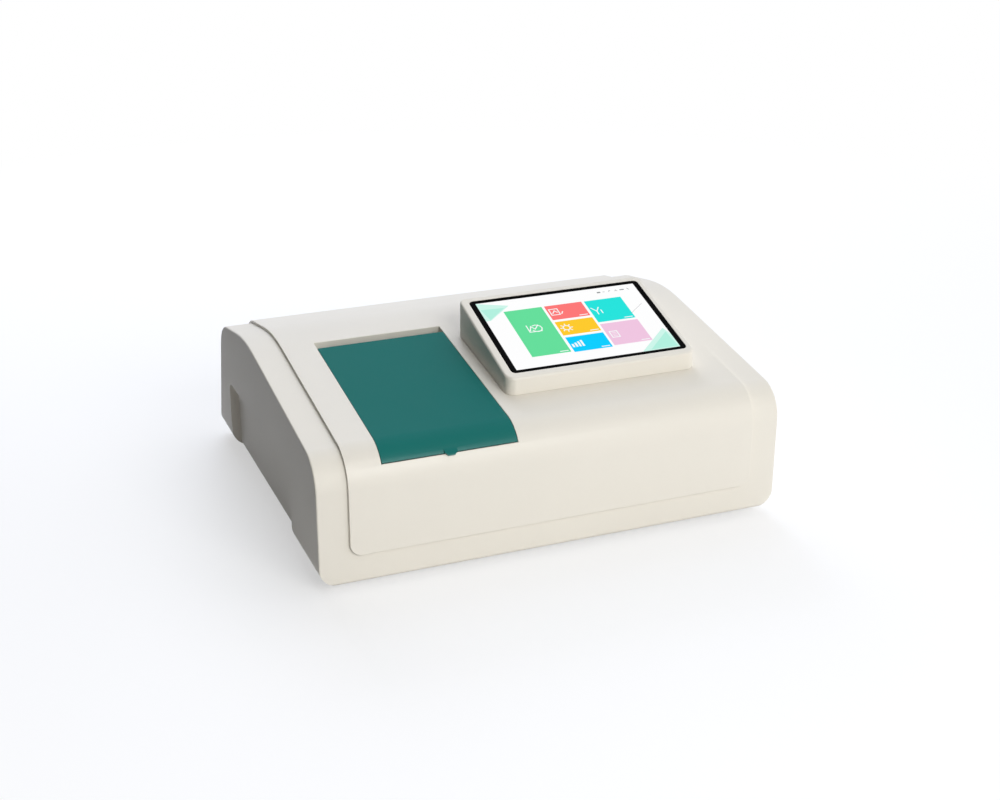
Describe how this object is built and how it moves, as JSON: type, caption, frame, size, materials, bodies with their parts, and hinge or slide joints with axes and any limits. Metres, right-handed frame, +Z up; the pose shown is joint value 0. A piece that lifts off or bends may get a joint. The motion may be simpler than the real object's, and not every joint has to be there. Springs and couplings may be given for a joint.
{
  "type": "uv-vis spectrophotometer",
  "caption": "Bench spectrophotometer: wedge case with side hand holds, flip-up sample lid over a screw-driven cell changer, tilted touch screen and vented rear panel.",
  "frame": {"origin": "middle of the whole instrument's footprint, on the surface its feet stand on", "axes": "+X to the user's right along the width, +Y from front to back, +Z up"},
  "size_m": [0.47, 0.3939, 0.1944],
  "materials": {
    "cream": "fine spark-eroded moulding grain",
    "cream_cover": "smooth satin moulding",
    "teal": "satin",
    "black_plastic": "fine grain",
    "black_rubber": "matt",
    "black_anodised": "black anodised",
    "screen_black": "polished, black border",
    "steel": "bright",
    "aluminium": "cast and machined",
    "sheet_metal": "powder coated",
    "mirror_coat": "front surface coating",
    "clear_glass": "polished",
    "circuit_green": "solder mask",
    "ceramic": "unglazed ceramic"
  },
  "bodies": {
    "case": {"lower_case": "cream", "main_cover": "cream_cover", "rear_panel": "sheet_metal", "optical_bench": "aluminium", "foot_front_left": "black_rubber", "foot_front_right": "black_rubber", "foot_rear_left": "black_rubber", "foot_rear_right": "black_rubber", "lid_hinge_pin": "steel", "hinge_bracket_left": "steel", "hinge_bracket_right": "steel", "lid_gasket": "black_rubber", "sample_tub": "black_plastic", "beam_window_left": "clear_glass", "beam_window_right": "clear_glass", "guide_rod_left": "steel", "guide_rod_right": "steel", "cell_drive_motor": "black_anodised", "detector_housing": "black_anodised", "detector_lens": "clear_glass", "photodiode": "steel", "detector_board": "circuit_green", "monochromator_housing": "aluminium", "monochromator_cover": "black_anodised", "collimating_mirror": "mirror_coat", "collimating_mirror_mount": "black_anodised", "focusing_mirror": "mirror_coat", "focusing_mirror_mount": "black_anodised", "grating_motor": "black_anodised", "entrance_slit": "steel", "exit_slit": "steel", "condenser_lens": "clear_glass", "lens_mount": "black_anodised", "filter_motor": "black_anodised", "lamp_housing": "sheet_metal", "deuterium_lamp": "clear_glass", "tungsten_lamp": "ceramic", "source_mirror_motor": "black_anodised", "fan_frame": "black_plastic", "fan_guard": "steel", "power_inlet": "black_plastic", "power_switch_frame": "black_plastic", "usb_port": "steel", "serial_port": "steel", "power_supply": "sheet_metal", "main_board": "circuit_green", "console_housing": "cream_cover", "touch_glass": "screen_black", "display_module": "black_plastic"},
    "lid": {"sample_lid": "teal"},
    "cell_changer": {"cell_carriage": "aluminium", "cell_holder": "black_anodised"},
    "drive_screw": {"cell_drive_screw": "steel"},
    "grating": {"grating_turntable": "black_anodised", "diffraction_grating": "mirror_coat"},
    "filter_wheel": {"filter_wheel": "black_anodised"},
    "source_mirror": {"source_mirror": "mirror_coat"},
    "fan_rotor": {"fan_rotor": "black_plastic"},
    "power_rocker": {"power_rocker": "black_plastic"},
    "fuse_drawer": {"fuse_drawer": "black_plastic"}
  },
  "joints": [
    {"name": "lid_hinge", "type": "hinge", "parent": "case", "child": "lid", "pos_m": [-0.106, 0.00725, 0.14894], "axis": [-1, 0, 0], "range_deg": [0, 110]},
    {"name": "cell_slide", "type": "slide", "parent": "case", "child": "cell_changer", "axis": [0, -1, 0], "range_m": [0, 0.06]},
    {"name": "cell_screw_turn", "type": "hinge", "parent": "case", "child": "drive_screw", "pos_m": [-0.106, -0.1597, 0.037], "axis": [0, 1, 0], "range_deg": [-5, 1805]},
    {"name": "grating_turn", "type": "hinge", "parent": "case", "child": "grating", "pos_m": [0.10019, -0.0225, 0.0707], "axis": [0, 0, 1], "range_deg": [-20, 20]},
    {"name": "filter_wheel_turn", "type": "hinge", "parent": "case", "child": "filter_wheel", "pos_m": [0.036, 0.0255, 0.091], "axis": [0, 1, 0], "continuous": true},
    {"name": "source_mirror_turn", "type": "hinge", "parent": "case", "child": "source_mirror", "pos_m": [0.02, 0.0975, 0.091], "axis": [0, 0, 1], "range_deg": [0, 90]},
    {"name": "fan_spin", "type": "hinge", "parent": "case", "child": "fan_rotor", "pos_m": [0.02, 0.16061, 0.06392], "axis": [0, 0.9694, 0.2453], "continuous": true},
    {"name": "power_rocker_tip", "type": "hinge", "parent": "case", "child": "power_rocker", "pos_m": [0.122, 0.1769, 0.06804], "axis": [-1, 0, 0], "range_deg": [0, 18]},
    {"name": "fuse_drawer_slide", "type": "slide", "parent": "case", "child": "fuse_drawer", "axis": [0, 0.9694, 0.2453], "range_m": [0, 0.014]}
  ],
  "couplings": [
    {"joint": "cell_screw_turn", "follows": "cell_slide", "rad_per_m": 523.6}
  ]
}
